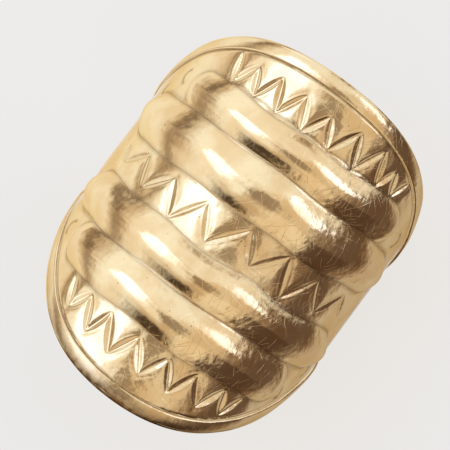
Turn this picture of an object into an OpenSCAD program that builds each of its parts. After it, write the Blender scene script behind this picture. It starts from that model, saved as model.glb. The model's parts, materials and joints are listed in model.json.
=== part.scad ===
// Ring thimble of gold sheet, open at both ends. It lies on the flat of its back strap with the
// ribbed shield facing up: Y runs along the finger (+Y towards the fingertip), X is across it, and
// the origin is under the middle of the part, at the height that it rests on.

/* [Finger bore] */
// Diameter of the hole for the finger
bore_d = 17.3; // [15:0.1:20]

/* [Shield sheet] */
// Length of the shield along the finger, at its middle
shield_len = 25; // [24:0.1:28]
// Thickness of the sheet
sheet_t = 0.55; // [0.4:0.05:0.8]
// Width of the band where the two wings meet the strap
wing_w = 5.6; // [4:0.1:8]
// Angle from the middle of the shield to the end of each wing, in degrees
wing_reach = 130; // [120:1:140]

/* [Edge rims] */
// Width of the strip that edges each end of the shield
rim_w = 1.05; // [0.8:0.05:1.2]
// Height of the strip above the sheet
rim_rise = 0.2; // [0.1:0.05:0.4]

/* [Ribs] */
// Width of each rib along the finger, fingertip end first
rib_widths = [2.65, 3.65, 3.1, 3.2]; // [2.6:0.05:3.7]
// Angle from the middle of the shield to each rib's end, in degrees
rib_reach = [58, 74, 74, 61]; // [50:1:78]
// Height of the ribs above the sheet
rib_rise = 0.95; // [0.6:0.05:1.1]
// Gap between two ribs that lie side by side
rib_gap = 0.04; // [0.02:0.01:0.1]
// Width of the plain band between the two pairs of ribs
band_w = 3.15; // [2.8:0.05:3.4]
// Distance of that band's middle from the middle of the shield, towards the fingertip
band_shift = 0.17; // [0:0.01:0.3]

/* [Zigzag strokes] */
// Depth of each engraved stroke
stroke_depth = 0.15; // [0.05:0.01:0.25]
// Width of each engraved stroke at its middle
stroke_w = 0.6; // [0.3:0.05:0.8]

/* [Back strap] */
// Thickness of the strap before its back is filed flat
strap_t = 0.9; // [0.7:0.05:1.2]
// Depth filed off the strap's back
flat_depth = 0.4; // [0.3:0.05:0.5]

/* [Hidden] */

$fn = 96;
GOLD = [0.83, 0.67, 0.42];
PALE_GOLD = [0.88, 0.74, 0.50];
DEEP_GOLD = [0.76, 0.58, 0.34];

bore_r = bore_d / 2;
sheet_r = bore_r + sheet_t;
rim_r = sheet_r + rim_rise;
strap_r = bore_r + strap_t;
bore_height = strap_r - flat_depth; // height of the bore's axis above the surface it rests on
tip = 1;                            // side of the rim nearer the fingertip
palm = -1;                          // side of the rim nearer the palm

// Side view of each edge: a cosine wave from the narrow band at the back to the long shield in front.
// The edge nearer the fingertip starts lower and is fuller.
tip_wave = [-0.99 * rim_r, 155];  // height from the bore's axis where it starts, degrees of it used
palm_wave = [-0.51 * rim_r, 142];
wave_steps = 28;
reach_past = 1;             // how far cutting outlines pass the metal
rib_end_swell = 1.03;       // size of the ball that rounds a rib's end, against its bar

function wave_of(side) = side == tip ? tip_wave : palm_wave;
function wave_start(side) = wave_of(side)[0];
function wave_angle(side) = wave_of(side)[1];
function wave_length(side) = rim_r - wave_start(side);
function wave_place(z, side) = min(1, max(0, (z - wave_start(side)) / wave_length(side)));
function wave_turn(z, side) = wave_angle(side) * wave_place(z, side);
function wave_rise(z, side) = (1 - cos(wave_turn(z, side))) / (1 - cos(wave_angle(side)));
function half_len(z, side) = (wing_w + (shield_len - wing_w) * wave_rise(z, side)) / 2;

// The edge's slope on the rolled-out sheet, which sets how far along Y a strip of even width reaches
function wave_slope(z, side) = (shield_len - wing_w) / 2 * wave_angle(side) * PI / 180
    * sin(wave_turn(z, side)) / (1 - cos(wave_angle(side))) / wave_length(side);
function edge_slope(z, side) = wave_slope(z, side) * sqrt(max(0, 1 - pow(z / rim_r, 2)));
function inset_len(z, side, inset) = half_len(z, side) - inset * sqrt(1 + pow(edge_slope(z, side), 2));

// Heights of an outline's points: along the wave, then past the metal at both ends
function outline_heights(side) = concat(
    [-strap_r - reach_past],
    [for (i = [0 : wave_steps]) wave_start(side) + i * wave_length(side) / wave_steps],
    [rim_r + reach_past]
);
last_height = wave_steps + 2;

// Rib edges along the finger, from the middle band outwards
band_top = band_shift + band_w / 2;
band_bottom = band_shift - band_w / 2;
rib_y = [
    band_top + rib_widths[1] + rib_widths[0] / 2,
    band_top + rib_widths[1] / 2,
    band_bottom - rib_widths[2] / 2,
    band_bottom - rib_widths[2] - rib_widths[3] / 2
];

// Zigzag rows: the points where two strokes meet, from the -X side to the +X side, as the angle round
// the finger and the distance along it. The strokes are hand-cut, so no two are quite alike.
tip_row = [
    [-43, 10.15], [-38.6, 8.25], [-32.2, 10.05], [-26.7, 8.25], [-20.7, 10.4], [-15, 8.2],
    [-8.3, 10.35], [-2.5, 8.2], [4.4, 10.2], [10.4, 8.2], [18, 10.5], [23.8, 8.25],
    [31.4, 10.5], [36.8, 8.2], [41.6, 9.9], [46.4, 8.25], [51.6, 9.8]
];
mid_row = [
    [-69, 1.2], [-64, 0.1], [-51, 1.5], [-44.5, -0.6], [-33, 1.2], [-25.5, -1.1], [-15, 1.25],
    [-7, -1], [5.6, 1.45], [12.8, -0.7], [25, 1.5], [31.4, -1.1], [42.5, 1.45], [50.6, -0.4],
    [61, 1.55], [68.5, 0.2]
];
palm_row = [
    [-44.2, -7.9], [-38, -9.35], [-32.3, -7.95], [-25, -10], [-20.4, -8.05], [-11.9, -10.3],
    [-5.4, -8.2], [2.9, -10.2], [9.4, -8.15], [16.8, -10.1], [22.8, -8], [30.2, -9.7],
    [37, -7.9], [41.6, -9.3], [47.4, -7.9]
];

// Moves a shape drawn round the Y axis up to the bore's axis
module on_bore_axis() {
    translate([0, 0, bore_height]) children();
}

// Part of a tube round the bore, reach degrees to each side of its middle, which faces up
module shell(inner_r, outer_r, reach, turn = 0) {
    rotate([-90, turn, 0])
        rotate([0, 0, -90 - reach])
            rotate_extrude(angle = 2 * reach)
                translate([inner_r, -shield_len])
                    square([outer_r - inner_r, 2 * shield_len]);
}

// Runs a side-view outline, drawn as (y, height from the bore's axis), right across the part
module across() {
    rotate([90, 0, 90])
        linear_extrude(height = 4 * strap_r, center = true)
            children();
}

// Side view of the whole metal: the wings' outline on both sides of the middle
module side_outline() {
    polygon(concat(
        [for (z = outline_heights(tip)) [half_len(z, tip), z]],
        [for (i = [last_height : -1 : 0])
            let (z = outline_heights(palm)[i])
                [-half_len(z, palm), z]]
    ));
}

// Side view of one edge strip; side is tip or palm
module rim_outline(side) {
    polygon(concat(
        [for (z = outline_heights(side)) [side * (half_len(z, side) + reach_past), z]],
        [for (i = [last_height : -1 : 0])
            let (z = outline_heights(side)[i])
                [side * inset_len(z, side, rim_w), z]]
    ));
}

// A leaf-shaped V groove between two meeting points, as a wheel with a sharp edge cuts it.
// The cutter is only the short arc of that wheel which enters the sheet.
module stroke(from, to) {
    middle = (from + to) / 2;
    along_x = (to.x - from.x) * PI / 180 * sheet_r;
    along_y = to.y - from.y;
    half_stroke = norm([along_x, along_y]) / 2;
    wheel_r = (pow(half_stroke, 2) + pow(stroke_depth, 2)) / (2 * stroke_depth);
    arc = acos(1 - 1.5 * stroke_depth / wheel_r);
    rotate([0, middle.x, 0])
        translate([0, middle.y, sheet_r + wheel_r - stroke_depth])
            rotate([0, 0, atan2(-along_x, along_y)])
                rotate([0, 90, 0])
                    rotate([0, 0, -arc])
                        rotate_extrude(angle = 2 * arc)
                            polygon([
                                [wheel_r - 2 * stroke_depth, -stroke_w],
                                [wheel_r, 0],
                                [wheel_r - 2 * stroke_depth, stroke_w]
                            ]);
}

// One row of strokes, each from one meeting point to the next
module zigzag(points) {
    for (i = [1 : len(points) - 1]) {
        stroke(points[i - 1], points[i]);
    }
}

// Sheet with the long shield on top and the two wings that taper round the finger
module shield_sheet() {
    color(GOLD)
        on_bore_axis()
            difference() {
                intersection() {
                    shell(bore_r, sheet_r, wing_reach);
                    across() side_outline();
                }
                zigzag(tip_row);
                zigzag(mid_row);
                zigzag(palm_row);
            }
}

// What is cut off past a rib's end, to leave it round: everything outside a ball that is a little
// fatter than the bar
module rib_end_cut(bead_r) {
    block = 4 * bead_r;
    difference() {
        translate([-block / 2, 0, -block / 2])
            cube(block);
        sphere(r = rib_end_swell * bead_r);
    }
}

// Half-round bar laid across the shield, with rounded ends; number counts from the fingertip end
module rib(number) {
    width = rib_widths[number - 1] - rib_gap;
    bead_r = (pow(width / 2, 2) + pow(rib_rise, 2)) / (2 * rib_rise);
    ring_r = sheet_r + rib_rise - bead_r;
    bar_reach = rib_reach[number - 1] - asin(width / 2 / sheet_r);
    cut_reach = bar_reach + asin(1.5 * bead_r / sheet_r);
    color(PALE_GOLD)
        on_bore_axis()
            translate([0, rib_y[number - 1], 0])
                rotate([-90, 0, 0])
                    difference() {
                        rotate([0, 0, -90 - cut_reach])
                            rotate_extrude(angle = 2 * cut_reach)
                                intersection() {
                                    translate([ring_r, 0])
                                        circle(r = bead_r);
                                    translate([sheet_r, -width])
                                        square(2 * width);
                                }
                        for (side = [0, 1])
                            mirror([side, 0, 0])
                                rotate([0, 0, bar_reach - 90])
                                    translate([ring_r, 0, 0])
                                        rib_end_cut(bead_r);
                    }
}

// Strip that edges one end of the shield, from wing to wing; side is tip or palm
module rim(side) {
    color(PALE_GOLD)
        on_bore_axis()
            intersection() {
                shell(sheet_r, rim_r, wing_reach);
                across() side_outline();
                across() rim_outline(side);
            }
}

// Strap behind the finger that joins the two wings, with its back filed flat
module back_strap() {
    color(DEEP_GOLD)
        difference() {
            on_bore_axis()
                intersection() {
                    shell(bore_r, strap_r, 180 - wing_reach, 180);
                    across() side_outline();
                }
            translate([-strap_r, -shield_len, -strap_r])
                cube([2 * strap_r, 2 * shield_len, strap_r]);
        }
}

shield_sheet();
rib(1);  // rib_1
rib(2);  // rib_2
rib(3);  // rib_3
rib(4);  // rib_4
rim(tip);  // upper_rim
rim(palm);  // lower_rim
back_strap();
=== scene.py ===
"""Ring thimble of worn gold, lying on a pale table under soft studio light."""

import json
import math

import bmesh
import bpy
import numpy as np
from mathutils import Matrix, Vector


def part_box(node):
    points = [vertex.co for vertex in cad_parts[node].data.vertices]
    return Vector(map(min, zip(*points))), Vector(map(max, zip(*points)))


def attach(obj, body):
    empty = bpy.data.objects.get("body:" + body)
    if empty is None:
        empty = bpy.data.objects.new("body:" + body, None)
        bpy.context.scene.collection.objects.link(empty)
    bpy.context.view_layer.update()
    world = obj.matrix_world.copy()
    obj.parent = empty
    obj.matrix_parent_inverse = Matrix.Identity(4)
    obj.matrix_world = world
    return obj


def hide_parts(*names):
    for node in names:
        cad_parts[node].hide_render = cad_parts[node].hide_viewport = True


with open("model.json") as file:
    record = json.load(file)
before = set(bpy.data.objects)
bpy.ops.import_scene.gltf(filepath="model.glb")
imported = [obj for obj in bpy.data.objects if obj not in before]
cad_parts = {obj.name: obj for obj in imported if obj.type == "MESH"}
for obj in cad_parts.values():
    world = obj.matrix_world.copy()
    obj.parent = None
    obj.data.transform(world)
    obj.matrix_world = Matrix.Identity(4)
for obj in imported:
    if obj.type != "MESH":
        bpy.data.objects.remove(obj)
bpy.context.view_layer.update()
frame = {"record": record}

# ---------------------------------------------------------------------------------------------
# Sizes, in millimetres, taken from the frame. Angles run round the finger, from the middle of the
# shield, and TIP and PALM are the two ends of the thimble.

MM = 0.001  # metres in a millimetre
TIP = 1
PALM = -1


def node_box(name):
    """Lowest and highest corner of a CAD node, in millimetres."""
    low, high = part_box(name)
    return np.array(low) / MM, np.array(high) / MM


bore = next(m for m in frame["record"]["mounts"] if m["name"] == "finger_bore")
BORE_R = bore["dims"]["r_mm"]
AXIS_Z = bore["pos_m"][2] / MM
sheet_low, sheet_high = node_box("shield_sheet")
strap_low, strap_high = node_box("back_strap")
SHEET_R = sheet_high[2] - AXIS_Z
rim_high = node_box("upper_rim")[1]
RIM_R = rim_high[2] - AXIS_Z
HALF_LEN = rim_high[1]
WING_HALF = -strap_low[1]
WING_REACH = math.acos((sheet_low[2] - AXIS_Z) / SHEET_R)
STRAP_R = strap_high[0] / math.sin(WING_REACH)
RIM_W = 1.05  # width of the rims

# Where each edge's cosine wave starts, as a height from the bore's axis, and how much of it is used
WAVES = {
    TIP: (-0.99 * RIM_R, math.radians(155)),
    PALM: (-0.51 * RIM_R, math.radians(142)),
}

# On the +X side both edges are a little fuller than their wave, most of all where they are low: the
# most that it could add, the angle where it is strongest, and how far it spreads
FULLER = 0.3
FULLER_AT = math.radians(58)
FULLER_SPREAD = math.radians(26)

# Points where two engraved strokes meet, as (angle in degrees, distance along the finger)
TIP_ROW = [
    (-43, 10.15), (-38.6, 8.22), (-32.2, 10.05), (-26.7, 8.22), (-20.7, 10.4), (-15, 8.2),
    (-8.3, 10.35), (-2.5, 8.17), (4.4, 10.2), (10.4, 8.17), (18, 10.5), (23.8, 8.2),
    (31.4, 10.5), (36.8, 8.2), (41.6, 9.9), (46.4, 8.25), (51.6, 9.8),
]
MID_ROW = [
    (-69, 1.2), (-64, 0.1), (-51, 1.5), (-44.5, -0.6), (-33, 1.2), (-25.5, -1.15), (-15, 1.25),
    (-7, -1), (5.6, 1.45), (12.8, -0.7), (25, 1.5), (31.4, -1.1), (42.5, 1.45), (50.6, -0.4),
    (61, 1.6), (68.5, 0.2),
]
PALM_ROW = [
    (-44.2, -7.5), (-38, -9.35), (-32.3, -7.8), (-25, -10), (-20.4, -7.95), (-11.9, -10.3),
    (-5.4, -8.2), (2.9, -10.2), (9.4, -8.15), (16.8, -10.1), (22.8, -7.95), (30.2, -9.7),
    (37, -7.65), (41.6, -9.3), (47.4, -7.5),
]
# Small crescent marks left by a punch: angle, distance along the finger, turn in degrees
CRESCENTS = [
    (-62.6, 6.85, 185), (-72.3, 5.4, 215), (69.4, 6.3, 0),
    (-66.7, -5.25, 170), (63.5, -5.9, 20), (74.4, -3.75, 10),
]

# Width and depth of the engraved strokes at the two ends, and of the finer ones in the band
END_STROKES = (0.6, 0.15)
BAND_STROKES = (0.5, 0.08)

rng = np.random.default_rng(321)


# ---------------------------------------------------------------------------------------------
# The rolled-out sheet. s is the length round the finger and y the length along it.


def edge_y(angle, side):
    """Distance from the thimble's middle to one of its edges."""
    start, turn = WAVES[side]
    place = np.clip((RIM_R * np.cos(angle) - start) / (RIM_R - start), 0, 1)
    rise = (1 - np.cos(turn * place)) / (1 - math.cos(turn))
    fuller = FULLER * np.exp(-(((angle - FULLER_AT) / FULLER_SPREAD) ** 2))
    return WING_HALF + (HALF_LEN - WING_HALF) * rise + fuller * (1 - rise)


def roll_up(s, y, radius):
    """Points in the frame, in millimetres, of the rolled-out point (s, y) at a distance from the axis."""
    angle = s / SHEET_R
    return np.stack([radius * np.sin(angle), y + 0 * s, AXIS_Z + radius * np.cos(angle)], axis=-1)


def random_waves(count, shortest, longest, height):
    """A gentle random surface, as a list of (wave vector, phase, height)."""
    waves = []
    for _ in range(count):
        length = rng.uniform(shortest, longest)
        heading = rng.uniform(0, math.pi)
        vector = 2 * math.pi / length * np.array([math.cos(heading), math.sin(heading)])
        waves.append((vector, rng.uniform(0, 2 * math.pi), height / math.sqrt(count)))
    return waves


def wave_height(waves, s, y):
    """Height of a random surface at rolled-out points."""
    total = 0 * s + 0 * y
    for vector, phase, height in waves:
        total = total + height * np.sin(vector[0] * s + vector[1] * y + phase)
    return total


# The unevenness of metal shaped by hand, and how far the ribs stray from straight
HAMMERED = random_waves(count=14, shortest=2.6, longest=7, height=0.022)
RIB_WOBBLE = random_waves(count=8, shortest=3.5, longest=9, height=0.09)

BOW = 0.16  # how strongly the ribs bow once the bow is fully grown
BOW_START = 6.0  # distance along the finger where the bow starts
BOW_GROWTH = 14.0  # length over which it grows, towards the palm


def bowed(s, y):
    """Distance along the finger with the ribs' bow and wobble taken out: towards the palm, the ribs
    curve a little back towards the fingertip at their ends."""
    bow = BOW * np.clip((BOW_START - y) / BOW_GROWTH, 0, 1)
    return y - bow * SHEET_R * (1 - np.cos(s / SHEET_R)) - wave_height(RIB_WOBBLE, s, y)


RIB_MEET = 0.02  # how far a rib's foot passes its CAD node, to meet its neighbour
RIB_ROOM = 0.03  # room left under the CAD's highest point, for the unevenness
DEEPEST = -1.5  # lowest height that the ribs' curves are followed to


class RibSize:
    """Sizes of one rib, from its CAD node; shift moves its visible form a little round the finger."""

    def __init__(self, node, shift):
        low, high = node_box(node)
        self.shift = shift
        self.middle = (low[1] + high[1]) / 2
        self.half = (high[1] - low[1]) / 2 + RIB_MEET
        self.rise = high[2] - AXIS_Z - SHEET_R - RIB_ROOM
        self.spine = math.acos((low[2] - AXIS_Z) / SHEET_R) * SHEET_R - self.half

    def share(self, s, y):
        """0 on the rib's middle line, 1 at its foot and more outside it."""
        past = np.maximum(0, np.abs(s - self.shift) - self.spine)
        return np.hypot(bowed(s, y) - self.middle, past) / self.half


RIB_SHIFTS = (0.35, 0.0, 0.0, 0.15)
RIBS = [RibSize(f"rib_{number + 1}", shift) for number, shift in enumerate(RIB_SHIFTS)]
FOOT_SHARPNESS = 11.0  # of the hollow between a rib and the plain sheet, per millimetre
VALLEY_SHARPNESS = 4.5  # of the hollow between two ribs


def rib_height(s, y):
    """Height of the ribbed surface over the plain sheet, with smooth hollows between the ribs."""
    total = np.ones_like(s)
    for pair in (RIBS[:2], RIBS[2:]):
        both = np.zeros_like(s)
        for rib in pair:
            height = np.maximum(rib.rise * (1 - rib.share(s, y) ** 2), DEEPEST)
            both += np.exp(VALLEY_SHARPNESS * height)
        total += np.exp(FOOT_SHARPNESS / VALLEY_SHARPNESS * np.log(both))
    return np.log(total) / FOOT_SHARPNESS


def arc_length(point):
    """Rolled-out position of a (degrees, y) point."""
    return np.array([math.radians(point[0]) * SHEET_R, point[1]])


class Relief:
    """Height of the worked surface over the plain sheet, and how much dirt and painted shade each place
    holds.
    """

    def __init__(self, s, y):
        self.s = s
        self.y = y
        self.cut = np.zeros_like(s)
        self.border = np.full_like(s, 9.0)  # distance to the nearest stroke's border
        self.lift = wave_height(HAMMERED, s, y)
        self.dirt_and_shade = np.zeros_like(s)

    def stroke(self, start, end, width, depth):
        """A leaf-shaped V groove between two points."""
        along = end - start
        length = np.hypot(*along)
        t = ((self.s - start[0]) * along[0] + (self.y - start[1]) * along[1]) / length**2
        t = np.clip(t, 0, 1)
        gap = np.hypot(self.s - start[0] - t * along[0], self.y - start[1] - t * along[1])
        swell = 4 * t * (1 - t)
        half = width / 2 * swell**0.72  # 0.5 would make the leaf rounder, and 1 more pointed
        self.border = np.minimum(self.border, gap - half)
        inside = np.clip(1 - gap / np.maximum(half, 1e-6), 0, 1)
        self.cut = np.maximum(self.cut, depth * swell**0.5 * inside)

    def zigzag(self, points, width, depth):
        """A row of strokes, each from one meeting point to the next."""
        for start, end in zip(points, points[1:]):
            cut_width = width * rng.uniform(0.85, 1.1)
            cut_depth = depth * rng.uniform(0.85, 1.15)
            self.stroke(arc_length(start), arc_length(end), cut_width, cut_depth)

    def line(self, gap, width, depth, dirt_and_shade=1.0):
        """A fine rounded groove where gap, the distance from its middle, is small."""
        shape = np.exp(-((gap / (width / 2)) ** 2))
        self.lift = self.lift - depth * shape
        self.dirt_and_shade = np.maximum(self.dirt_and_shade, dirt_and_shade * shape)

    def scratch(self, start, end, width, depth):
        """A straight scratch between two points."""
        along = end - start
        t = ((self.s - start[0]) * along[0] + (self.y - start[1]) * along[1]) / np.dot(along, along)
        t = np.clip(t, 0, 1)
        gap = np.hypot(self.s - start[0] - t * along[0], self.y - start[1] - t * along[1])
        self.line(gap, width, depth, dirt_and_shade=0.5)

    def crescent(self, angle, y, turn):
        """Part of a small ring, open on one side."""
        ring_r = 0.52
        half_arc = 1.35  # in radians
        fade = 0.5  # millimetres that a radian past the arc's end counts for
        centre = arc_length((angle, y))
        ds = self.s - centre[0]
        dy = self.y - centre[1]
        heading = np.arctan2(dy, ds) - math.radians(turn)
        heading = (heading + math.pi) % (2 * math.pi) - math.pi
        beyond = np.maximum(0, np.abs(heading) - half_arc) * fade
        gap = np.hypot(np.hypot(ds, dy) - ring_r, beyond)
        self.line(gap, width=0.2, depth=0.05, dirt_and_shade=0.7)

    def dents(self, count, smallest, largest, depth):
        """Round dents of random size, scattered over the sheet."""
        for _ in range(count):
            ds = self.s - rng.uniform(self.s.min(), self.s.max())
            dy = self.y - rng.uniform(-HALF_LEN, HALF_LEN)
            size = rng.uniform(smallest, largest)
            self.lift = self.lift - rng.uniform(0.3, 1) * depth * np.exp(-(ds**2 + dy**2) / size**2)

    def scallops(self, points):
        """Dark arcs left between the strokes' inner ends."""
        arc_rise = 0.16
        ends = [arc_length(point) for point in points[1::2]]
        for start, end in zip(ends, ends[1:]):
            share = (self.s - start[0]) / (end[0] - start[0])
            rise = arc_rise * (1 - (2 * share - 1) ** 2)
            beyond = np.maximum(0, np.abs(share - 0.5) - 0.5) * (end[0] - start[0])
            gap = self.y - start[1] - share * (end[1] - start[1]) - rise
            self.line(np.hypot(gap, beyond), width=0.13, depth=0.05, dirt_and_shade=0.8)

    def height(self):
        """Height of the whole relief: the strokes lie in slightly sunk places, with a fine burr along
        their borders."""
        outside = np.maximum(self.border, 0)
        sunk = 0.045 * np.exp(-((outside / 0.3) ** 2))
        burr = 0.014 * np.exp(-(((self.border - 0.05) / 0.045) ** 2))
        return self.lift - self.cut - sunk + burr

    def grime_and_shade(self):
        """How much dirt, and painted shade at the ribs' feet, each place holds, from 0 to 1."""
        stroke_dirt = np.clip(-self.border / 0.12, 0, 1) * 0.12
        outline = 0.4 * np.exp(-((self.border / 0.04) ** 2))
        return np.clip(np.maximum.reduce([self.dirt_and_shade, stroke_dirt, outline]), 0, 1)


# ---------------------------------------------------------------------------------------------
# Meshes


def spaced(stops):
    """Values from the first stop's start to the last stop's end; each stop is (start, end, step)."""
    parts = []
    for start, end, step in stops:
        count = max(2, round((end - start) / step) + 1)
        parts.append(np.linspace(start, end, count)[:-1])
    parts.append([stops[-1][1]])
    return np.concatenate(parts)


def grid_faces(rows, columns, first=0, closed=False):
    """Quads of a grid of points that is stored row by row; closed joins its last column to its first."""
    faces = []
    for i in range(rows - 1):
        for j in range(columns if closed else columns - 1):
            a = first + i * columns + j
            b = first + i * columns + (j + 1) % columns
            faces.append((a, b, b + columns, a + columns))
    return faces


INSIDE = 3.0  # the rolled-out place's third number, on the faces that touch the finger
# Painted shade on the faces that touch the finger
INSIDE_SHADE = 0.2


def finish_piece(name, points, faces, rolled, grime_and_shade, node, sharp_angle=50):
    """Makes the mesh and the object that stands for a CAD node. Points are in millimetres; rolled
    (rolled-out place) and the share of dirt and painted shade are kept on the mesh for its material."""
    mesh = bpy.data.meshes.new(name)
    mesh.from_pydata((points * MM).tolist(), [], faces)
    mesh.attributes.new("rolled", "FLOAT_VECTOR", "POINT").data.foreach_set("vector", rolled.ravel())
    mesh.attributes.new("grime_and_shade", "FLOAT", "POINT").data.foreach_set("value", grime_and_shade.ravel())
    bm = bmesh.new()
    bm.from_mesh(mesh)
    bmesh.ops.recalc_face_normals(bm, faces=bm.faces)
    bm.to_mesh(mesh)
    bm.free()
    mesh.shade_smooth()
    mesh.set_sharp_from_angle(angle=math.radians(sharp_angle))
    piece = bpy.data.objects.new(name, mesh)
    bpy.context.scene.collection.objects.link(piece)
    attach(piece, "root")
    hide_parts(node)
    return piece


def boundary(row_ids, column_ids):
    """The (row, column) places round the border of a grid that uses these rows and columns."""
    low = [(row_ids[0], c) for c in column_ids]
    right = [(r, column_ids[-1]) for r in row_ids[1:]]
    high = [(row_ids[-1], c) for c in column_ids[-2::-1]]
    left = [(r, column_ids[0]) for r in row_ids[-2:0:-1]]
    return low + right + high + left


def stitch(outer, inner, outer_at, inner_at):
    """Triangles between a fine loop and a coarse loop of points, both running the same way round.
    Each place of the coarse loop is a place of the fine loop as well."""
    faces = []
    place = {at: k for k, at in enumerate(outer_at)}
    count = len(outer)
    for k, at in enumerate(inner_at):
        a = inner[k]
        b = inner[(k + 1) % len(inner)]
        start = place[at]
        end = place[inner_at[(k + 1) % len(inner)]]
        if end <= start:
            end += count
        middle = (start + end) // 2
        for i in range(start, middle):
            faces.append((a, outer[i % count], outer[(i + 1) % count]))
        faces.append((a, outer[middle % count], b))
        for i in range(middle, end):
            faces.append((b, outer[i % count], outer[(i + 1) % count]))
    return faces


def every(count, step):
    """Every step-th index up to count, always with the last one."""
    ids = list(range(0, count - 1, step))
    return ids + [count - 1]


def sheet_grid():
    """Rolled-out places of the sheet's points, close together where it is engraved. The rows of points
    follow the two edges."""
    front = SHEET_R * math.radians(54)
    side = SHEET_R * math.radians(78)
    end = SHEET_R * WING_REACH
    s_line = spaced([
        (-end, -side, 0.3), (-side, -front, 0.12), (-front, front, 0.072),
        (front, side, 0.12), (side, end, 0.3),
    ])
    half_len = HALF_LEN - 0.16  # the rims cover the rest
    y_line = spaced([
        (-half_len, -7.5, 0.082), (-7.5, -2, 0.17), (-2, 2.2, 0.085),
        (2.2, 8, 0.17), (8, half_len, 0.082),
    ])
    angle = s_line / SHEET_R
    share = y_line / HALF_LEN
    reach = np.where(share[:, None] > 0, edge_y(angle, TIP)[None, :], edge_y(angle, PALM)[None, :])
    y = share[:, None] * reach
    return np.broadcast_to(s_line, y.shape).copy(), y


def in_front(angle):
    """1 at the middle of the shield, falling off to the sides."""
    return np.clip(np.cos(angle), 0, 1) ** 2


def rim_line_strength(angle):
    """How strong the dark line along a rim's inner edge is. It fades towards the wings."""
    return 0.3 + 0.7 * in_front(angle)


def engraved(s, y):
    """Everything that is worked into the sheet."""
    relief = Relief(s, y)
    relief.zigzag(TIP_ROW, *END_STROKES)
    relief.zigzag(MID_ROW, *BAND_STROKES)
    relief.zigzag(PALM_ROW, *END_STROKES)
    relief.scallops(TIP_ROW)
    for crescent in CRESCENTS:
        relief.crescent(*crescent)
    strength = rim_line_strength(s / SHEET_R)
    for side in (TIP, PALM):
        beside_rim = edge_distance(s, y, side) - RIM_W - 0.04
        relief.line(beside_rim, width=0.12, depth=0.08 * strength, dirt_and_shade=1.2 * strength)
    # A painted shadow along each rib's foot: a dark line on the sheet, with no depth
    for rib in RIBS:
        beside_rib = (rib.share(s, y) - 1) * rib.half - 0.05
        relief.line(beside_rib, width=0.35, depth=0.0, dirt_and_shade=0.45)
    relief.scratch(arc_length((27.7, -11.0)), arc_length((36.6, -10.0)), width=0.09, depth=0.02)
    relief.dents(count=90, smallest=0.15, largest=0.5, depth=0.02)
    return relief


def rise_to_ribs(s, y):
    """How far the sheet rises to meet the ribs' feet. Under the ribs it drops, to stay hidden."""
    highest = 0.15
    follow = 0.95  # share of the ribbed surface's height that the sheet takes
    drop = 0.08
    drop_start = 1.04  # as a share of the rib, where 1 is its foot
    drop_width = 0.12
    nearest = np.minimum.reduce([rib.share(s, y) for rib in RIBS])
    hidden = drop * np.clip((drop_start - nearest) / drop_width, 0, 1)
    return np.minimum(rib_height(s, y), highest) * follow - hidden


def sheet_faces(rows, columns, row_ids, column_ids):
    """Faces of the fine outer grid, of the coarse inner one, which uses only some rows and columns,
    and of the thin edge between them."""
    first_inner = rows * columns
    faces = grid_faces(rows, columns)
    faces += grid_faces(len(row_ids), len(column_ids), first_inner)
    outer_at = boundary(list(range(rows)), list(range(columns)))
    inner_at = boundary(row_ids, column_ids)
    inner_row = {r: k for k, r in enumerate(row_ids)}
    inner_column = {c: k for k, c in enumerate(column_ids)}
    outer_loop = [r * columns + c for r, c in outer_at]
    inner_loop = [
        first_inner + inner_row[r] * len(column_ids) + inner_column[c] for r, c in inner_at
    ]
    return faces + stitch(outer_loop, inner_loop, outer_at, inner_at)


def make_sheet():
    """The engraved sheet, with a fine outer face, a coarse inner face and a thin edge."""
    coarse = 4  # the inner face uses one in so many rows and columns
    s, y = sheet_grid()
    relief = engraved(s, y)
    outer = roll_up(s, y, SHEET_R + relief.height() + rise_to_ribs(s, y)).reshape(-1, 3)
    rows, columns = y.shape
    row_ids = every(rows, coarse)
    column_ids = every(columns, coarse)
    pick = np.ix_(row_ids, column_ids)
    inner = roll_up(s[pick], y[pick], np.full(s[pick].shape, BORE_R)).reshape(-1, 3)
    faces = sheet_faces(rows, columns, row_ids, column_ids)

    flat = np.stack([s, y, np.zeros_like(s)], axis=-1)
    inner_flat = flat[pick].reshape(-1, 3) + [0, 0, INSIDE]
    rolled = np.concatenate([flat.reshape(-1, 3), inner_flat])
    grime_and_shade = np.concatenate([relief.grime_and_shade().ravel(), np.full(len(inner), INSIDE_SHADE)])
    return finish_piece(
        "engraved_sheet", np.concatenate([outer, inner]), faces, rolled, grime_and_shade,
        "shield_sheet",
    )


def edge_line(angle, side):
    """Rolled-out points of an edge, and the direction across it, towards the middle of the shield."""
    s = SHEET_R * angle
    y = side * edge_y(angle, side)
    along = np.stack([np.gradient(s), np.gradient(y)], axis=-1)
    along /= np.linalg.norm(along, axis=-1, keepdims=True)
    across = np.stack([along[:, 1], -along[:, 0]], axis=-1) * side
    return s, y, across


def edge_distance(s, y, side):
    """Rough distance of rolled-out points from an edge, measured square to it."""
    angle = s / SHEET_R
    small = 0.01
    slope = (edge_y(angle + small, side) - edge_y(angle - small, side)) / (2 * small * SHEET_R)
    return (edge_y(angle, side) - side * y) / np.sqrt(1 + slope**2)


def sweep(section_at, stations):
    """Rings of points, one for each station, joined into a closed bar with flat ends."""
    rings = [section_at(k) for k in range(stations)]
    size = len(rings[0])
    faces = grid_faces(stations, size, closed=True)
    faces.append(tuple(range(size))[::-1])
    faces.append(tuple(range((stations - 1) * size, stations * size)))
    return np.concatenate(rings), faces


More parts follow.
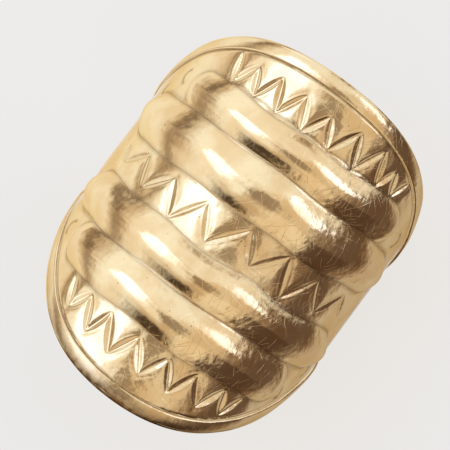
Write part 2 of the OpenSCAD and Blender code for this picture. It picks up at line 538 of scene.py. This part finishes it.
def rim_section():
    """Cross-section of a rim, as (distance in from the edge, distance from the axis): a rounded
    strip that is highest near its inner side and rolls over the sheet's edge."""
    top = RIM_R - SHEET_R
    crest = 0.86 * RIM_W
    drop = 0.33  # how far the outer edge lies below the sheet's surface
    sink = 0.06  # how far the inner edge does
    fullness = 0.9  # 1 would be a quarter of an ellipse, and less is fuller
    outer = [
        (
            crest - crest * math.cos(turn) ** fullness,
            SHEET_R - drop + (top + drop) * math.sin(turn) ** fullness,
        )
        for turn in np.radians(np.linspace(3, 90, 16))
    ]
    inner = [
        (crest + (RIM_W - crest) * math.sin(turn), SHEET_R - sink + (top + sink) * math.cos(turn))
        for turn in np.radians(np.linspace(15, 90, 7))
    ]
    # back through the sheet, and round its edge on the finger side
    under = [(0.55, SHEET_R - 0.2), (0.36, BORE_R + 0.06), (0.22, BORE_R + 0.01), (0.08, BORE_R + 0.07)]
    return outer + inner + under


# Where the pieces lie on the rolled-out map, along y. They lie apart from the sheet, which is in the
# middle, so that each wears in its own way.
RIM_PLACE = 30  # on both sides of the middle
RIB_PLACE = 60
STRAP_PLACE = 90


def make_rim(name, node, side, outer_edge_shade):
    """Strip along one edge of the shield, from wing to wing; the last argument sets how much painted
    shade its outer edge has, where it rolls over away from the light."""
    angle = np.linspace(-WING_REACH, WING_REACH, 420)
    s, y, across = edge_line(angle, side)
    section = np.array(rim_section())
    outer_edge_share = np.clip(1 - section[:, 0] / RIM_W, 0, 1)
    outline_length = np.concatenate([[0], np.cumsum(np.hypot(*np.diff(section, axis=0).T))])

    def ring(k):
        ring_s = s[k] + across[k, 0] * section[:, 0]
        ring_y = y[k] + across[k, 1] * section[:, 0]
        on_top = np.clip((section[:, 1] - SHEET_R) / (RIM_R - SHEET_R), 0, 1)
        radius = section[:, 1] + on_top * wave_height(HAMMERED, ring_s, ring_y)
        return roll_up(ring_s, ring_y, np.minimum(radius, RIM_R))

    points, faces = sweep(ring, len(angle))
    rolled = np.array([
        (s[k], side * RIM_PLACE + outline_length[j], 0)
        for k in range(len(angle)) for j in range(len(section))
    ])
    # Painted shade on the rim's outer edge, which rolls over and faces away from the light; strongest in
    # front
    grime_and_shade = np.outer(in_front(angle), outer_edge_shade * outer_edge_share)
    at_inner_edge = section[:, 0] > RIM_W - 0.04
    grime_and_shade[:, at_inner_edge] = rim_line_strength(angle)[:, None]
    return finish_piece(name, points, faces, rolled, grime_and_shade, node)


def make_rib(name, number):
    """One rib of the ribbed surface, on its own footprint, with rounded ends."""
    size = RIBS[number]
    skirt = 0.06  # how far the footprint passes the rib's foot, where no other rib lies beside it
    sunk = 0.1  # how far its base lies below the sheet's surface
    end = size.half + skirt
    is_lower = number % 2 == 1  # the lower rib of its pair
    half_up = size.half + (0 if is_lower else skirt)
    half_down = size.half + (skirt if is_lower else 0)
    turns = np.linspace(0, math.pi / 2, 24)[1:]
    ends = size.spine + end * np.sin(turns)
    straight = np.linspace(-size.spine, size.spine, 230)
    stations = np.concatenate([-ends[::-1], straight, ends])
    bow = np.linspace(-1, 1, 49)

    def ring(k):
        past = max(0.0, abs(stations[k]) - size.spine) / end
        narrow = math.sqrt(max(1 - past**2, 1e-4))
        s = np.full_like(bow, stations[k] + size.shift)
        across = np.sin(bow * math.pi / 2) * narrow * np.where(bow > 0, half_up, half_down)
        straight_y = size.middle + across
        y = straight_y + (straight_y - bowed(s, straight_y))
        radius = SHEET_R + rib_height(s, y) + wave_height(HAMMERED, s, y)
        radius = np.minimum(radius, SHEET_R + size.rise + RIB_ROOM)
        base = roll_up(s[:2], y[[-1, 0]], np.full(2, SHEET_R - sunk))
        return np.concatenate([roll_up(s, y, radius), base])

    points, faces = sweep(ring, len(stations))
    # a domed rib is about 1.2 times as wide when it is rolled out
    across = np.concatenate([bow * size.half * 1.2, [size.half * 1.3, -size.half * 1.3]])
    past_spine = np.clip((np.abs(stations) - size.spine) / end, 0, 1)
    rolled = np.array([
        (s, size.middle + RIB_PLACE + a, past)
        for s, past in zip(stations, past_spine) for a in across
    ])
    # Painted shade, darker towards the rib's feet, in the hollows between the ribs; the base's two points
    # take it fully
    towards_foot = np.clip((np.abs(bow) - 0.6) / 0.35, 0, 1)
    grime_and_shade = np.tile(np.concatenate([0.85 * towards_foot**1.5, [1, 1]]), len(stations))
    return finish_piece(name, points, faces, rolled, grime_and_shade, f"rib_{number + 1}")


LIP_DROP = 0.26  # how much lower the strap gets towards its ends, where it meets the wings
LIP_RINGS = 5  # number of rings over which it does
FLAT_SHARPNESS = 14.0  # of the corner where the filed flat starts, per millimetre
SMOOTH_REACH = 0.4  # angle to each side of the strap's middle that stays smooth; it takes in the flat


def strap_radius(turn, from_end):
    """Distance of the strap's outer face from the axis. from_end counts the rings of points between
    this place and the strap's nearer end."""
    lip = min(1.0, (from_end + 0.5) / LIP_RINGS)
    full = STRAP_R - LIP_DROP * (1 - lip) ** 2
    flat = AXIS_Z / max(-math.cos(turn), 0.5)
    both = math.exp(-FLAT_SHARPNESS * full) + math.exp(-FLAT_SHARPNESS * flat)
    radius = -math.log(both) / FLAT_SHARPNESS
    if abs(turn - math.pi) > SMOOTH_REACH:
        radius -= max(0.0, 0.02 + float(wave_height(HAMMERED, SHEET_R * turn, 0.0)))
    return radius


def make_strap():
    """Strap behind the finger, with rounded edges and its back filed flat."""
    overlap = math.radians(0.4)
    turns = np.linspace(WING_REACH - overlap, 2 * math.pi - WING_REACH + overlap, 120)
    corner = np.radians(np.linspace(0, 90, 6))
    outside_points = 2 * len(corner)
    inside_points = 4
    soft = 0.16  # radius of the rounded edges

    def ring(k):
        turn = turns[k]
        from_front = turn if turn < math.pi else turn - 2 * math.pi
        high = edge_y(from_front, TIP)
        low = -edge_y(from_front, PALM)
        outer = strap_radius(turn, min(k, len(turns) - 1 - k))
        ys = []
        rs = []
        for y_end, sign, bends in ((high, 1, corner), (low, -1, corner[::-1])):
            for bend in bends:
                ys.append(y_end - sign * soft * (1 - math.cos(bend)))
                rs.append(outer - soft * (1 - math.sin(bend)))
        ys += [low + 0.02, low + 0.12, high - 0.12, high - 0.02]
        rs += [BORE_R + 0.1, BORE_R, BORE_R, BORE_R + 0.1]
        return roll_up(SHEET_R * np.full(len(ys), turn), np.array(ys), np.array(rs))

    points, faces = sweep(ring, len(turns))
    rounds = points.reshape(len(turns), -1, 3)
    girth = np.cumsum(np.linalg.norm(np.diff(rounds, axis=1), axis=-1), axis=1)
    girth = np.concatenate([np.zeros((len(turns), 1)), girth], axis=1)
    length = np.broadcast_to((SHEET_R * turns)[:, None], girth.shape)
    inside = np.tile([0.0] * outside_points + [INSIDE] * inside_points, (len(turns), 1))
    rolled = np.stack([length, STRAP_PLACE + girth, inside], axis=-1).reshape(-1, 3)
    grime_and_shade = np.tile([0.04] * outside_points + [INSIDE_SHADE] * inside_points, len(turns))
    return finish_piece(
        "rear_strap", points, faces, rolled, grime_and_shade, "back_strap", sharp_angle=30,
    )


# ---------------------------------------------------------------------------------------------
# Gold


class Nodes:
    """Short ways to add and join the nodes of one material, or of the world."""

    def __init__(self, tree):
        self.tree = tree

    def add(self, kind, inputs=None, **settings):
        node = self.tree.nodes.new(kind)
        for key, value in settings.items():
            setattr(node, key, value)
        for key, value in (inputs or {}).items():
            self.feed(node.inputs[key], value)
        return node

    def feed(self, socket, value):
        if isinstance(value, bpy.types.NodeSocket):
            self.tree.links.new(value, socket)
        else:
            socket.default_value = value

    def math(self, operation, a, b=0.0, clamp=False):
        node = self.add("ShaderNodeMath", {0: a, 1: b}, operation=operation, use_clamp=clamp)
        return node.outputs[0]

    def ramp(self, value, low, high, to_low=0.0, to_high=1.0, smooth=True):
        kind = "SMOOTHSTEP" if smooth else "LINEAR"
        node = self.add("ShaderNodeMapRange", {
            "Value": value, "From Min": low, "From Max": high, "To Min": to_low, "To Max": to_high,
        }, interpolation_type=kind)
        return node.outputs["Result"]

    def mix(self, share, a, b):
        node = self.add("ShaderNodeMix", data_type="RGBA")
        self.feed(node.inputs["Factor"], share)
        self.feed(node.inputs["A"], a)
        self.feed(node.inputs["B"], b)
        return node.outputs["Result"]

    def noise(self, place, scale, detail=2.0, roughness=0.5):
        node = self.add("ShaderNodeTexNoise", {
            "Vector": place, "Scale": scale, "Detail": detail, "Roughness": roughness,
        })
        return node.outputs["Fac"]


def hairlines(nodes, place, turn, cell, half_width, share, seed):
    """Mask of short straight scratches that all run much the same way, one at most in each cell of
    a stretched grid. cell, the length of a cell, and half_width are in millimetres."""
    slimness = 6  # a cell's length over its width
    warp = nodes.add("ShaderNodeTexNoise", {"Vector": place, "Scale": 0.25, "Detail": 0.0})
    bend = nodes.add("ShaderNodeVectorMath", {0: warp.outputs["Color"], 1: (0.22, 0.22, 0.0)},
                     operation="MULTIPLY")
    bent = nodes.add("ShaderNodeVectorMath", {0: place, 1: bend.outputs[0]}, operation="ADD")
    turned = nodes.add("ShaderNodeMapping", {
        "Vector": bent.outputs[0], "Location": (seed * 7.3, seed * 3.1, 0),
        "Rotation": (0, 0, math.radians(turn)),
    })
    stretched = nodes.add("ShaderNodeVectorMath", {
        0: turned.outputs[0], 1: (1 / cell, slimness / cell, 0.0),
    }, operation="MULTIPLY")
    cells = nodes.add("ShaderNodeTexVoronoi", {"Vector": stretched.outputs[0], "Scale": 1.0},
                      voronoi_dimensions="2D")
    offset = nodes.add("ShaderNodeVectorMath", {
        0: stretched.outputs[0], 1: cells.outputs["Position"],
    }, operation="SUBTRACT")
    part = nodes.add("ShaderNodeSeparateXYZ", {0: offset.outputs[0]})
    chance = nodes.add("ShaderNodeSeparateColor", {0: cells.outputs["Color"]})
    lean = nodes.math("MULTIPLY", nodes.math("SUBTRACT", chance.outputs[1], 0.5), 1.2)
    across = nodes.math("ADD", part.outputs[1], nodes.math("MULTIPLY", part.outputs[0], lean))
    across = nodes.math("ABSOLUTE", across)
    line = nodes.ramp(across, 0.0, half_width * slimness / cell, 1.0, 0.0)
    ends = nodes.ramp(nodes.math("ABSOLUTE", part.outputs[0]), 0.2, 0.42, 1.0, 0.0)
    shown = nodes.ramp(chance.outputs[0], 1 - share, 1 - share + 0.12, 0.0, 1.0)
    return nodes.math("MULTIPLY", nodes.math("MULTIPLY", line, ends), shown)


def bump(nodes, height, distance, normal=None):
    """A bump on top of another one, if normal is given. distance, in metres, is how high a height
    of 1 stands."""
    inputs = {"Height": height, "Distance": distance, "Strength": 1.0}
    if normal is not None:
        inputs["Normal"] = normal
    return nodes.add("ShaderNodeBump", inputs).outputs[0]


# These keep the gold's colour, and that of the dirt and painted shade, where they are seen edge-on
EDGE_TINT = (0.9, 0.74, 0.5, 1.0)
DIRT_AND_SHADE_EDGE_TINT = (0.4, 0.25, 0.1, 1.0)
# Painted reflection and shade on the inside faces: the deeper, darker colour that gold mirrored in gold
# gives
INSIDE_REFLECTION_TONE = (0.66, 0.37, 0.13, 1.0)  # gold that mostly reflects gold
# Colour of the dirt in the grooves, and of the painted shade at the ribs' feet, in the rib hollows, on
# the palm rim's outer edge and inside
DIRT_AND_SHADE_TONE = (0.16, 0.074, 0.024, 1.0)

# Layers of scratches: heading in degrees, a cell's length and a scratch's half width in millimetres,
# share of cells that have a scratch, and strength
HAIRLINES = [
    (12, 2.4, 0.014, 0.35, 0.9), (74, 1.7, 0.012, 0.3, 0.7), (-38, 2.2, 0.014, 0.35, 0.9),
    (-62, 1.2, 0.012, 0.3, 0.7), (-9, 3.4, 0.014, 0.35, 0.8), (42, 1.4, 0.014, 0.35, 0.8),
]


def scratch_mask(nodes, place, amount):
    """All the layers of scratches together."""
    lines = 0.0
    for turn, cell, half_width, share, strength in HAIRLINES:
        layer = hairlines(nodes, place, turn, cell, half_width, share * amount, seed=turn / 10)
        lines = nodes.math("ADD", lines, nodes.math("MULTIPLY", layer, strength))
    return lines


def pit_mask(nodes, place):
    """Small round pits of different sizes."""
    specks = nodes.add("ShaderNodeTexVoronoi", {"Vector": place, "Scale": 2.6})
    chance = nodes.add("ShaderNodeSeparateColor", {0: specks.outputs["Color"]}).outputs[0]
    pit_r = nodes.ramp(chance, 0.55, 1.0, 0.0, 0.11)
    return nodes.math("LESS_THAN", specks.outputs["Distance"], pit_r)


def gold(name, base, deep, roughness, scratches):
    """Worn gold with hairline scratches, small pits, patches of tone, dirt in the grooves, painted shade
    and a painted inside reflection.
    """
    material = bpy.data.materials.new(name)
    material.use_nodes = True
    material.node_tree.nodes.clear()
    nodes = Nodes(material.node_tree)
    place = nodes.add("ShaderNodeAttribute", attribute_name="rolled").outputs["Vector"]
    grime_and_shade = nodes.add("ShaderNodeAttribute", attribute_name="grime_and_shade").outputs["Fac"]

    patches = nodes.noise(place, 0.45, 3.0, 0.55)
    clouds = nodes.noise(place, 2.2, 4.0, 0.6)
    grain = nodes.noise(place, 16.0, 3.0, 0.6)
    pits = pit_mask(nodes, place)

    # The side wings and the inside carry fewer scratches than the shield
    where = nodes.add("ShaderNodeSeparateXYZ", {0: place})
    on_front = nodes.ramp(nodes.math("ABSOLUTE", where.outputs[0]), 6.0, 10.0, 1.0, 0.3)
    inside = nodes.ramp(where.outputs[2], 1.0, 2.0, 0.0, 0.8)
    rubbed = nodes.ramp(where.outputs[0], -4.0, 4.0, 0.3, 1.0)  # the +X side is worn more
    lines = scratch_mask(nodes, place, scratches)
    lines = nodes.math("MULTIPLY", lines, nodes.math("SUBTRACT", on_front, inside, clamp=True))
    lines = nodes.math("MULTIPLY", lines, rubbed)

    worn = nodes.ramp(patches, 0.35, 0.65)
    dirt_and_shade = nodes.math("MULTIPLY", grime_and_shade, nodes.ramp(clouds, 0.2, 0.7, 0.95, 0.55))
    tone = nodes.mix(worn, deep, base)
    tone = nodes.mix(nodes.ramp(clouds, 0.5, 0.75, 0.0, 0.35), tone, deep)
    # Painted reflection and shade on the faces that touch the finger
    tone = nodes.mix(inside, tone, INSIDE_REFLECTION_TONE)
    # Dirt in the grooves, and painted shade at the ribs' feet, in the rib hollows, on the palm rim's
    # outer edge and inside
    tone = nodes.mix(dirt_and_shade, tone, DIRT_AND_SHADE_TONE)
    tone = nodes.mix(nodes.math("MULTIPLY", pits, 0.5), tone, DIRT_AND_SHADE_TONE)

    duller = nodes.ramp(where.outputs[2], 0.0, 1.0, 0.0, 0.22)  # the ribs' ends and the inside
    rough = nodes.ramp(clouds, 0.25, 0.75, roughness - 0.04, roughness + 0.06)
    rough = nodes.math("ADD", rough, nodes.math("MULTIPLY", grime_and_shade, 0.15))
    rough = nodes.math("ADD", rough, nodes.math("MULTIPLY", lines, 0.1), clamp=True)
    rough = nodes.math("ADD", rough, duller, clamp=True)

    normal = bump(nodes, nodes.math("MULTIPLY", nodes.noise(place, 0.9, 2.0), rubbed), 7e-5)
    normal = bump(nodes, nodes.math("MULTIPLY", clouds, rubbed), 2e-5, normal)
    normal = bump(nodes, grain, 1e-6, normal)
    normal = bump(nodes, nodes.math("SUBTRACT", 0.0, lines), 4e-6, normal)
    normal = bump(nodes, nodes.math("SUBTRACT", 0.0, pits), 6e-6, normal)

    shader = nodes.add("ShaderNodeBsdfPrincipled", {
        "Base Color": tone, "Metallic": 1.0, "Roughness": rough, "Normal": normal,
        "Specular Tint": nodes.mix(dirt_and_shade, EDGE_TINT, DIRT_AND_SHADE_EDGE_TINT),
    })
    nodes.add("ShaderNodeOutputMaterial", {"Surface": shader.outputs[0]})
    return material


# ---------------------------------------------------------------------------------------------
# Table, light and camera

# The table gives off most of its light itself, which keeps it evenly pale
TABLE_TONE = (0.16, 0.157, 0.155, 1.0)
TABLE_GLOW = (0.7125, 0.689, 0.641, 1.0)
ROOM_TONE = (0.835, 0.815, 0.795, 1.0)  # what the camera sees past the table


def make_table():
    """Wide plain table that the thimble lies on."""
    mesh = bpy.data.meshes.new("table")
    half = 3.0  # in metres
    mesh.from_pydata([(-half, -half, 0), (half, -half, 0), (half, half, 0), (-half, half, 0)], [],
                     [(0, 1, 2, 3)])
    table = bpy.data.objects.new("table", mesh)
    bpy.context.scene.collection.objects.link(table)
    material = bpy.data.materials.new("plain_table")
    material.use_nodes = True
    material.node_tree.nodes.clear()
    nodes = Nodes(material.node_tree)
    matt = nodes.add("ShaderNodeBsdfDiffuse", {"Color": TABLE_TONE})
    glow = nodes.add("ShaderNodeEmission", {"Color": TABLE_GLOW, "Strength": 1.0})
    both = nodes.add("ShaderNodeAddShader", {0: matt.outputs[0], 1: glow.outputs[0]})
    nodes.add("ShaderNodeOutputMaterial", {"Surface": both.outputs[0]})
    mesh.materials.append(material)
    table.visible_glossy = False  # the gold reflects the surroundings' map all round instead


# Tones of the surroundings, as light: the gold's own colour is added by its material
WHITE = (1.6, 2.0, 3.2)
PALE_WALL = (1.0, 1.16, 1.46)
FLOOR = (0.95, 1.08, 1.32)
AMBER = (0.88, 0.88, 0.88)
TAN = (0.6, 0.55, 0.5)
BROWN = (0.3, 0.25, 0.23)
DARK = (0.09, 0.062, 0.055)
BLACK = (0.045, 0.031, 0.026)
FAR = 9.0

# The surroundings as soft-edged patches, each laid over the ones before it. A direction's place on
# this map is (across / (1 + up), along / (1 + up)), so that straight up is (0, 0), the horizon is
# the circle of radius 1, and what is further out lies below the thimble.
# tone, share of cover, (across from, to), (along from, to), width of the soft edge
PATCHES = [
    (TAN, 0.8, (-1.1, -0.68), (-FAR, FAR), 0.16),
    (DARK, 0.75, (-0.98, -0.83), (0.15, FAR), 0.08),
    (DARK, 0.5, (-0.95, -0.78), (-FAR, 0.15), 0.12),
    (PALE_WALL, 0.95, (-0.7, -0.1), (-0.35, FAR), 0.12),
    (PALE_WALL, 1.0, (-0.53, -0.39), (-FAR, -0.3), 0.08),
    (TAN, 0.95, (-0.1, 0.44), (-FAR, FAR), 0.12),
    (BROWN, 1.0, (0.44, FAR), (-FAR, FAR), 0.14),
    (DARK, 0.8, (0.62, 1.18), (-FAR, FAR), 0.2),
    (DARK, 0.9, (0.44, 1.0), (-FAR, -0.27), 0.1),
    (FLOOR, 0.4, (1.4, FAR), (-FAR, FAR), 0.3),
    (PALE_WALL, 0.75, (0.08, 0.54), (0.28, FAR), 0.12),
    (TAN, 0.8, (-0.3, 0.08), (-FAR, -0.5), 0.15),
    (BLACK, 0.95, (-0.34, 0.05), (-1.1, -0.7), 0.22),
    (AMBER, 0.9, (0.1, 0.38), (-0.85, -0.25), 0.08),
    (AMBER, 0.8, (0.1, 0.24), (-FAR, -0.85), 0.1),
    (BROWN, 0.8, (-0.08, 0.05), (0.85, FAR), 0.1),
]
# Round patches on the same map: tone, share of cover, middle, half its size each way
SPOTS = [
    (WHITE, 1.0, (-0.35, -0.02), (0.16, 0.3)),
    (WHITE, 1.0, (0.35, 0.45), (0.16, 0.27)),
    (AMBER, 0.5, (0.2, 0.05), (0.25, 0.35)),
    (PALE_WALL, 0.8, (-0.02, 0.5), (0.15, 0.4)),
    (DARK, 0.6, (0.03, -0.12), (0.11, 0.2)),
    (PALE_WALL, 0.7, (0.45, 1.5), (0.35, 0.45)),
]
RIPPLE = 0.22  # how far noise moves the patches' edges, so that they are not straight


def make_world():
    """Studio light by direction. The camera itself sees a plain pale room."""
    world = bpy.data.worlds.new("studio")
    bpy.context.scene.world = world
    world.use_nodes = True
    world.node_tree.nodes.clear()
    nodes = Nodes(world.node_tree)
    heading = nodes.add("ShaderNodeTexCoord").outputs["Generated"]
    part = nodes.add("ShaderNodeSeparateXYZ", {0: heading})
    spread = nodes.math("MAXIMUM", nodes.math("ADD", part.outputs["Z"], 1.0), 0.02)
    ripple = nodes.add("ShaderNodeTexNoise", {"Vector": heading, "Scale": 4.0, "Detail": 2.0})
    ripple = nodes.add("ShaderNodeSeparateColor", {0: ripple.outputs["Color"]})

    def place(axis, wander):
        plain = nodes.math("DIVIDE", part.outputs[axis], spread)
        return nodes.math("ADD", plain, nodes.math("MULTIPLY", wander, RIPPLE))

    across = nodes.math("SUBTRACT", place("X", ripple.outputs[0]), RIPPLE / 2)
    along = nodes.math("SUBTRACT", place("Y", ripple.outputs[1]), RIPPLE / 2)

    def between(value, limits, soft):
        rise = nodes.ramp(value, limits[0] - soft / 2, limits[0] + soft / 2)
        fall = nodes.ramp(value, limits[1] - soft / 2, limits[1] + soft / 2, 1.0, 0.0)
        return nodes.math("MULTIPLY", rise, fall)

    light = (*FLOOR, 1.0)
    for tone, cover, across_limits, along_limits, soft in PATCHES:
        inside = nodes.math("MULTIPLY", between(across, across_limits, soft),
                            between(along, along_limits, soft))
        light = nodes.mix(nodes.math("MULTIPLY", inside, cover), light, (*tone, 1.0))
    for tone, cover, middle, half in SPOTS:
        dx = nodes.math("DIVIDE", nodes.math("SUBTRACT", across, middle[0]), half[0])
        dy = nodes.math("DIVIDE", nodes.math("SUBTRACT", along, middle[1]), half[1])
        # squared distance from the spot's middle, which is 1 on its outline
        far_off = nodes.math("ADD", nodes.math("MULTIPLY", dx, dx), nodes.math("MULTIPLY", dy, dy))
        light = nodes.mix(nodes.ramp(far_off, 0.5, 1.5, cover, 0.0), light, (*tone, 1.0))
    room = nodes.add("ShaderNodeBackground", {"Color": light, "Strength": 1.0})
    plain = nodes.add("ShaderNodeBackground", {"Color": ROOM_TONE, "Strength": 1.0})
    seen = nodes.add("ShaderNodeLightPath").outputs["Is Camera Ray"]
    both = nodes.add("ShaderNodeMixShader", {0: seen, 1: room.outputs[0], 2: plain.outputs[0]})
    nodes.add("ShaderNodeOutputWorld", {"Surface": both.outputs[0]})


def make_camera():
    """Camera straight above the thimble, turned so that the fingertip end points up and left."""
    lean = math.radians(36.4)
    right = Vector((math.cos(lean), math.sin(lean), 0))
    up = Vector((-math.sin(lean), math.cos(lean), 0))
    distance = 0.8
    seen_width = 28.72 * MM  # width of the picture at the height of the thimble's middle
    shift_right = -0.17 * MM  # of the picture's middle from the thimble's
    shift_up = 0.942 * MM
    target = Vector((0, 0, AXIS_Z * MM)) + right * shift_right + up * shift_up
    data = bpy.data.cameras.new("camera")
    data.sensor_width = 36
    data.lens = data.sensor_width * distance / seen_width
    data.clip_start = 0.01
    data.clip_end = 10
    camera = bpy.data.objects.new("camera", data)
    turn = Matrix((right, up, Vector((0, 0, 1)))).transposed().to_4x4()
    camera.matrix_world = Matrix.Translation(target + Vector((0, 0, distance))) @ turn
    bpy.context.scene.collection.objects.link(camera)
    bpy.context.scene.camera = camera


# ---------------------------------------------------------------------------------------------
# Put it together


sheet = make_sheet()
ribs = [make_rib(f"raised_rib_{number + 1}", number) for number in range(len(RIBS))]
# The palm rim's outer edge gets strong painted shade, the tip rim's only a trace
rims = [
    make_rim("upper_edge_rim", "upper_rim", TIP, outer_edge_shade=0.15),
    make_rim("lower_edge_rim", "lower_rim", PALM, outer_edge_shade=1.5),
]
strap = make_strap()

PALE = (0.99, 0.71, 0.36, 1.0)
DEEP = (0.9, 0.58, 0.26, 1.0)
sheet.data.materials.append(gold("sheet_gold", PALE, DEEP, roughness=0.12, scratches=1.0))
rib_finish = gold("rib_gold", PALE, DEEP, roughness=0.1, scratches=1.0)
for rib in ribs:
    rib.data.materials.append(rib_finish)
rim_finish = gold("rim_gold", PALE, DEEP, roughness=0.12, scratches=0.7)
for rim in rims:
    rim.data.materials.append(rim_finish)
strap.data.materials.append(gold("strap_gold", PALE, DEEP, roughness=0.2, scratches=1.3))

# Gold mirrored in gold turned the hollows orange, and the photo's hollows are brown
for piece in (sheet, *ribs, *rims, strap):
    piece.visible_glossy = False

make_table()
make_world()
make_camera()
bpy.context.scene.view_settings.view_transform = "Standard"
